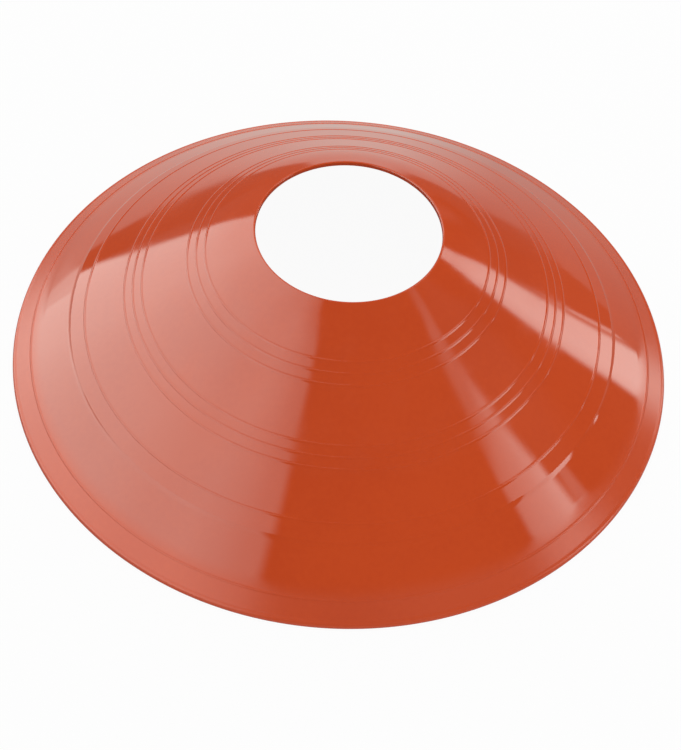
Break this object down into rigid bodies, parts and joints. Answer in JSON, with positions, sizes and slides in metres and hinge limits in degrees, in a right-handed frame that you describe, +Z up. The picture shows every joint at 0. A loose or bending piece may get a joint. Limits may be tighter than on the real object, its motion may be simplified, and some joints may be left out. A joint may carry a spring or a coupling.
{
  "type": "disc marker cone",
  "caption": "Low moulded disc cone that marks out a sports field, open underneath and at the top, with raised rings, a proud band, a skirt and a rounded rim.",
  "frame": {"origin": "centre of the rim's underside, on the ground", "axes": "+Z up along the cone's axis, -Y towards the camera, +X to its right"},
  "size_m": [0.19, 0.19, 0.0535],
  "materials": {
    "cone_plastic": "moulded gloss, satin beside the rim"
  },
  "bodies": {
    "root": {"cone_shell": "cone_plastic"}
  },
  "joints": []
}
